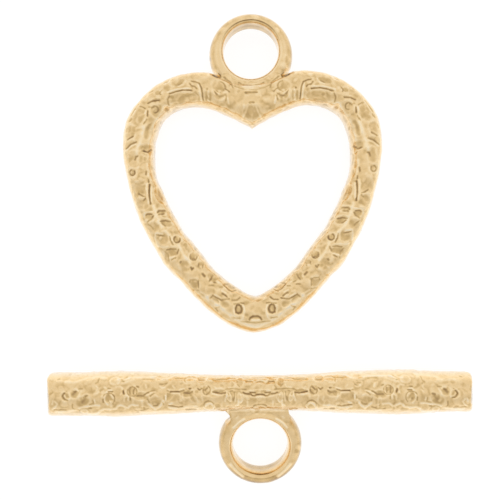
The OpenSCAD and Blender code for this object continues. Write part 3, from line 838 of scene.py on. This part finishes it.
def band_seen(grid, normal):
    """The heart's band, painted lighter or darker as shading by how far its sides face out from its
    centre.
    """
    x, y = grid[..., 0], grid[..., 1]
    outward = (normal[..., 0] * x + normal[..., 1] * y) / np.hypot(x, y)
    rim = np.interp(outward, *zip(*HEART_PAINTED_RIM_SHADING))
    return np.abs(x) / HEART_CHART, y / HEART_CHART, np.abs(normal[..., 2]), rim, painted_edge_reflection(outward)


def level_seen(grid, normal):
    """The heart's loop and its web, which lie level."""
    x, y = grid[..., 0], grid[..., 1]
    return np.abs(x) / HEART_CHART, y / HEART_CHART, np.abs(normal[..., 2]), 0, 0


def bar_seen(grid, normal):
    """The bar, painted lighter or darker as shading by the angle round it from the eye."""
    radius = np.hypot(grid[..., 1], grid[..., 2])
    angle = np.arcsin(np.clip(grid[..., 1] / radius, -1, 1)) - math.radians(BAR_LEAN)
    rim = np.interp(np.sin(angle), *zip(*BAR_PAINTED_RIM_SHADING))
    up = radius * np.sin(angle) / BAR_CHART
    return np.abs(grid[..., 0]) / BAR_CHART, up, np.cos(angle), rim, painted_edge_reflection(np.sin(angle))


def sloping_seen(grid, normal):
    """The bar's loop and its neck, which slope down from the bar."""
    lean = math.radians(BAR_LEAN)
    up = grid[..., 1] * math.cos(lean) - np.abs(grid[..., 2]) * math.sin(lean)
    return np.abs(grid[..., 0]) / BAR_CHART, up / BAR_CHART, np.abs(normal[..., 2]), 0, 0


def hammered(grid, closed, seen, charts, count, seed):
    """Pushes charted and small dents into a plain grid; gives its points, and its tone and paleness,
    which carry painted shade, highlights and reflections.
    """
    normal = grid_normals(grid, closed)
    x, y, faced, rim, painted_rim_reflection = seen(grid, normal)
    facing = np.clip((faced - FACING_START) / FACING_SPAN, 0, 1)
    dents, lines, punches, corners = charts
    dark, bright = marks(lines, punches, x, y)
    depth = bowls(dents, x, y) + GROOVE_DEPTH * dark - RIDGE_HEIGHT * bright
    depth = depth * facing + small_dents(grid.reshape(-1, 3), count, seed).reshape(x.shape)
    # Raised spots painted lighter as highlights, hollows painted darker as shade
    crest = np.clip((softened(depth, CREST_ROUNDS) - depth) / CREST_HEIGHT, *CREST_TONES)
    # Corners painted dark inside as shade and pale beside as highlights
    corner_shade, glints = marks(corners, [], x, y)
    # Tone: painted shading across the rims, painted highlights on ridges, painted shade in grooves and
    # corners
    tone = crest + rim + (RIDGE_TONE * bright - GROOVE_TONE * dark) * facing + glints - corner_shade
    # Paleness painted as highlights at corners and as reflections at rims
    pale = np.clip(CORNER_PALE * glints + painted_rim_reflection, 0, 1)
    return grid - normal * depth[..., None], np.clip(tone, *TONES), pale


def casting(name, grid, closed, seen, charts, count, seed):
    """Hammered piece from a plain grid."""
    points, tone, pale = hammered(grid, closed, seen, charts, count, seed)
    return new_piece(name, points, closed, tone, pale)


def loop_ring(up, seen, charts, tones, end_tones, seed):
    """Domed ring of a loop, still without its hole, with its middle at a height up the half."""
    t = np.linspace(0, 2 * np.pi, LOOP_SIDES, endpoint=False)
    radius = LOOP_RING + LOOP_HALF * np.cos(t)
    grid = lathe_grid(np.stack([radius, LOOP_HALF * np.sin(t)], axis=1))
    points, tone, pale = hammered(grid + (0, up, 0), True, seen, charts, LOOP_SMALL, seed)
    # Shading painted across the ring by radius, with other tones towards its outer end
    end = np.clip(np.sign(up) * grid[..., 1] / LOOP_RING, 0, 1) ** END_POWER
    band = (1 - end) * np.interp(radius, *zip(*tones)) + end * np.interp(radius, *zip(*end_tones))
    # The ring's outer rim painted pale as a reflection
    pale = np.maximum(pale, painted_edge_reflection(np.maximum(np.cos(t), 0)))
    return new_piece("ring", points, True, np.clip(tone + band, *TONES), pale)


def loop_hole(wall_half, bore_edge, tones, line):
    """Spool-shaped cutter: a straight hole whose edges open out, painted darker as shade and reflection
    where it faces the eye.
    """
    flare = LOOP_HALF + FLARE_PAST - wall_half
    edge = [(BORE_R + bore_edge * (1 - math.cos(t)), wall_half + flare * math.sin(t))
            for t in np.linspace(0, np.pi / 2, FLARE_STEPS)]
    upper = edge + [(edge[-1][0], CUTTER_REACH), (CUTTER_CORE, CUTTER_REACH)]
    lower = [(r, -z) for r, z in upper[::-1]]
    wall = [(BORE_R, wall_half * t) for t in np.linspace(-1, 1, WALL_STEPS)[1:-1]]
    grid = lathe_grid(lower + wall + upper)
    z = grid[..., 2]
    line_at, line_width, way, line_power = line
    # Far wall painted with shade, reflections and highlights by height, and a dark reflected line
    side = np.clip(way * grid[:, len(lower), 1] / BORE_R, 0, 1)[:, None]
    tone = BORE_PLAIN + (np.interp(z, *zip(*tones)) - BORE_PLAIN) * side ** FAR_WALL_POWER
    tone = tone - BORE_LINE_TONE * np.exp(-((z - line_at) / line_width) ** 2) * side ** line_power
    # Edges of the hole painted pale as a reflection
    pale = BORE_PALE * np.exp(-((np.abs(z) - wall_half) / BORE_PALE_REACH) ** 2)
    return new_piece("hole", grid, True, np.clip(tone, *TONES), pale)


def round_cutter(radius):
    """Upright round cutter of plain tone."""
    grid = lathe_grid([(CUTTER_CORE, -CUTTER_REACH), (radius, -CUTTER_REACH),
                       (radius, CUTTER_REACH), (CUTTER_CORE, CUTTER_REACH)])
    plain = np.zeros(grid.shape[:2])
    return new_piece("bite", grid, True, plain, plain)


def combine(piece, other, operation):
    """Joins or cuts a closed piece with another, which is then gone."""
    modifier = piece.modifiers.new(operation.lower(), "BOOLEAN")
    modifier.operation = operation
    modifier.solver = "MANIFOLD"
    modifier.object = other
    bpy.context.view_layer.update()
    graph = bpy.context.evaluated_depsgraph_get()
    mesh = bpy.data.meshes.new_from_object(piece.evaluated_get(graph))
    piece.modifiers.clear()
    old = piece.data
    piece.data = mesh
    bpy.data.meshes.remove(old)
    bpy.data.objects.remove(other)


def move_piece(piece, move, tilt=0, turn=0):
    """Moves a piece's points, in mm, after tilting it about X and turning it about Z, in degrees."""
    turned = Matrix.Rotation(math.radians(turn), 4, "Z")
    tilted = Matrix.Rotation(math.radians(tilt), 4, "X")
    piece.data.transform(Matrix.Translation(Vector(move) * MM) @ turned @ tilted)
    piece.data.update()


def set_down(piece):
    """Flattens what would lie below the table, at the spots that a half rests on."""
    places = np.zeros(3 * len(piece.data.vertices))
    piece.data.vertices.foreach_get("co", places)
    places[2::3] = np.maximum(places[2::3], SEAT * MM)
    piece.data.vertices.foreach_set("co", places)
    piece.data.update()


def heart_half():
    """Hammered heart band with its loop."""
    lines = chart_mm(HEART_LINES, HEART_MIDDLE_PIXEL, HEART_TURN, 1)
    corners = chart_mm(HEART_CORNERS, HEART_MIDDLE_PIXEL, HEART_TURN, 1)
    charts = (HEART_DENTS, lines, HEART_PUNCHES, corners)
    piece = casting("heart_casting", band_grid(), True, band_seen, charts, BAND_SMALL, BAND_SEED)
    plate = plate_grid(WEB, lambda y: WEB_HALF)
    web = casting("web", plate, False, level_seen, charts, PLATE_SMALL, WEB_SEED)
    combine(piece, web, "UNION")
    ring = loop_ring(
        HEART_LOOP_UP, level_seen, charts, HEART_RING_TONES, HEART_RING_END_TONES, HEART_RING_SEED)
    combine(piece, ring, "UNION")
    hole = loop_hole(HEART_BORE_HALF, HEART_BORE_EDGE, HEART_BORE_TONES, HEART_BORE_LINE)
    move_piece(hole, (0, HEART_LOOP_UP + HEART_BORE_UP, 0))
    combine(piece, hole, "DIFFERENCE")
    move_piece(piece, (HEART_SHIFT, HEART_Y, BAND_THICK / 2), turn=HEART_TURN)
    set_down(piece)
    return piece


def bar_half():
    """Hammered toggle bar with its loop."""
    lines = chart_mm(BAR_LINES, BAR_MIDDLE_PIXEL, BAR_TURN, -1)
    corners = chart_mm(BAR_CORNERS, BAR_MIDDLE_PIXEL, BAR_TURN, -1)
    charts = (BAR_DENTS, lines, BAR_PUNCHES, corners)
    piece = casting("bar_casting", bar_grid(), False, bar_seen, charts, BAR_SMALL, BAR_SEED)
    plate = plate_grid(NECK, neck_half)
    neck = casting("neck", plate, False, sloping_seen, charts, PLATE_SMALL, NECK_SEED)
    combine(piece, neck, "UNION")
    ring = loop_ring(
        -BAR_LOOP_DOWN, sloping_seen, charts, BAR_RING_TONES, BAR_RING_END_TONES, BAR_RING_SEED)
    combine(piece, ring, "UNION")
    hole = loop_hole(BAR_BORE_HALF, BAR_BORE_EDGE, BAR_BORE_TONES, BAR_BORE_LINE)
    move_piece(hole, (0, -BAR_LOOP_DOWN, 0))
    combine(piece, hole, "DIFFERENCE")
    bite = round_cutter(BITE_R)
    move_piece(bite, (*BITE_AT, 0))
    combine(piece, bite, "DIFFERENCE")
    move_piece(piece, (0, BAR_Y, BAR_FAT / 2), tilt=REST_TILT, turn=BAR_TURN)
    set_down(piece)
    return piece


def give(node, inputs):
    """Sets a node's inputs, by their names or places."""
    for name, value in inputs.items():
        node.inputs[name].default_value = value


def add_node(tree, kind, inputs=None, **settings):
    """New shader node with its settings and the values of its inputs."""
    node = tree.nodes.new("ShaderNode" + kind)
    for name, value in settings.items():
        setattr(node, name, value)
    give(node, inputs or {})
    return node


def wire(tree, links):
    """Links nodes: each row is a node and its output, then a node and its input."""
    for source, output, target, socket in links:
        tree.links.new(source.outputs[output], target.inputs[socket])


def gold():
    """Bright pale gold plating: soft haze, small waves, and the tone of its grooves and ridges, painted
    darker as shade and paler as highlights.
    """
    material = bpy.data.materials.new("pale_gold")
    material.use_nodes = True
    tree = material.node_tree
    shader = tree.nodes["Principled BSDF"]
    give(shader, {"Metallic": 1, "Coat Weight": 0.8, "Coat Roughness": 0.12, "Coat IOR": 1.5})
    spot = add_node(tree, "TexCoord")

    patch = add_node(tree, "TexNoise", {"Scale": 2200, "Detail": 4})
    drift = add_node(tree, "MapRange", {
        "From Min": 0.25, "From Max": 0.75, "To Min": -0.24, "To Max": 0.24})
    tone = add_node(tree, "Attribute", attribute_name="tone")
    total = add_node(tree, "Math", operation="ADD")
    scale = add_node(tree, "MapRange", {"From Min": TONES[0], "From Max": TONES[1]})
    # The ramp paints shade as darker gold and highlights as paler gold, by tone
    ramp = add_node(tree, "ValToRGB")
    elements = ramp.color_ramp.elements
    while len(elements) < len(GOLD_AND_PAINTED_LIGHT):
        elements.new(0.5)
    for element, (value, colour) in zip(elements, GOLD_AND_PAINTED_LIGHT):
        element.position = (value - TONES[0]) / (TONES[1] - TONES[0])
        element.color = (*colour, 1)
    # Paleness painted as reflections and highlights takes colour out of the gold
    pale = add_node(tree, "Attribute", attribute_name="pale")
    depth = add_node(tree, "Math", {1: -PALE_LOSS, 2: 1}, operation="MULTIPLY_ADD")
    fade = add_node(tree, "HueSaturation")
    wire(tree, [
        (spot, "Object", patch, "Vector"), (patch, "Fac", drift, "Value"),
        (tone, "Fac", total, 0), (drift, "Result", total, 1),
        (total, "Value", scale, "Value"), (scale, "Result", ramp, "Fac"),
        (pale, "Fac", depth, 0), (depth, "Value", fade, "Saturation"),
        (ramp, "Color", fade, "Color"), (fade, "Color", shader, "Base Color"),
    ])

    haze = add_node(tree, "TexNoise", {"Scale": 6000, "Detail": 3})
    rough = add_node(tree, "MapRange", {"To Min": 0.16, "To Max": 0.30})
    bump = add_node(tree, "Bump", {"Strength": 0.4, "Distance": 0.00002})
    wire(tree, [
        (spot, "Object", haze, "Vector"), (haze, "Fac", rough, "Value"),
        (rough, "Result", shader, "Roughness"), (haze, "Fac", bump, "Height"),
        (bump, "Normal", shader, "Normal"),
    ])
    return material


def table_top():
    """Pale lit table that the clasp lies on."""
    bpy.ops.mesh.primitive_plane_add(size=TABLE_SIZE)
    floor = bpy.context.object
    material = bpy.data.materials.new("white_table")
    material.use_nodes = True
    give(material.node_tree.nodes["Principled BSDF"], {
        "Base Color": (0.22, 0.22, 0.22, 1), "Roughness": 0.6, "Specular IOR Level": 0.1,
        "Emission Color": (1, 1, 1, 1), "Emission Strength": 0.86,
    })
    floor.data.materials.append(material)
    return floor


def sky():
    """Soft white surround whose brightness depends on its slope along Y."""
    world = bpy.data.worlds.new("studio")
    bpy.context.scene.world = world
    world.use_nodes = True
    tree = world.node_tree
    background = tree.nodes["Background"]
    give(background, {"Color": (1, 1, 1, 1)})
    way = add_node(tree, "TexCoord")
    split = add_node(tree, "SeparateXYZ")
    slope = add_node(tree, "Math", operation="ARCTAN2")
    share = add_node(tree, "MapRange", {"From Min": -math.pi / 2, "From Max": math.pi / 2})
    level = add_node(tree, "Math", {1: SKY_TOP}, operation="MULTIPLY")
    curve = add_node(tree, "FloatCurve")
    points = curve.mapping.curves[0].points
    while len(points) < len(SKY):
        points.new(0.5, 0.5)
    for point, (degrees, bright) in zip(points, SKY):
        point.location = ((degrees + 90) / 180, bright / SKY_TOP)
        point.handle_type = "AUTO"
    curve.mapping.update()
    wire(tree, [
        (way, "Generated", split, "Vector"), (split, "Y", slope, 0), (split, "Z", slope, 1),
        (slope, "Value", share, "Value"), (share, "Result", curve, "Value"),
        (curve, "Value", level, 0), (level, "Value", background, "Strength"),
    ])


def camera():
    """Camera straight above, as in the photograph."""
    data = bpy.data.cameras.new("camera")
    data.sensor_width = SENSOR_WIDTH
    data.angle = 2 * math.atan(VIEW_WIDTH / 2 / VIEW_HEIGHT)
    data.clip_start = NEAREST_SEEN
    data.clip_end = FARTHEST_SEEN
    view = bpy.data.objects.new("camera", data)
    bpy.context.scene.collection.objects.link(view)
    view.location = Vector((VIEW_X, VIEW_Y, BAND_THICK / 2 + VIEW_HEIGHT)) * MM
    bpy.context.scene.camera = view


bpy.context.scene.view_settings.view_transform = "Standard"
metal = gold()
halves = [(heart_half(), "heart_frame", "heart_gold"), (bar_half(), "toggle_bar", "bar_gold")]
for piece, node, slot in halves:
    piece.data.shade_smooth()
    piece.data.set_sharp_from_angle(angle=math.radians(SHARP_ANGLE))
    piece.data.materials.clear()
    piece.data.materials.append(metal)
    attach(piece, "root")
    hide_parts(node)
table_top()
sky()
camera()
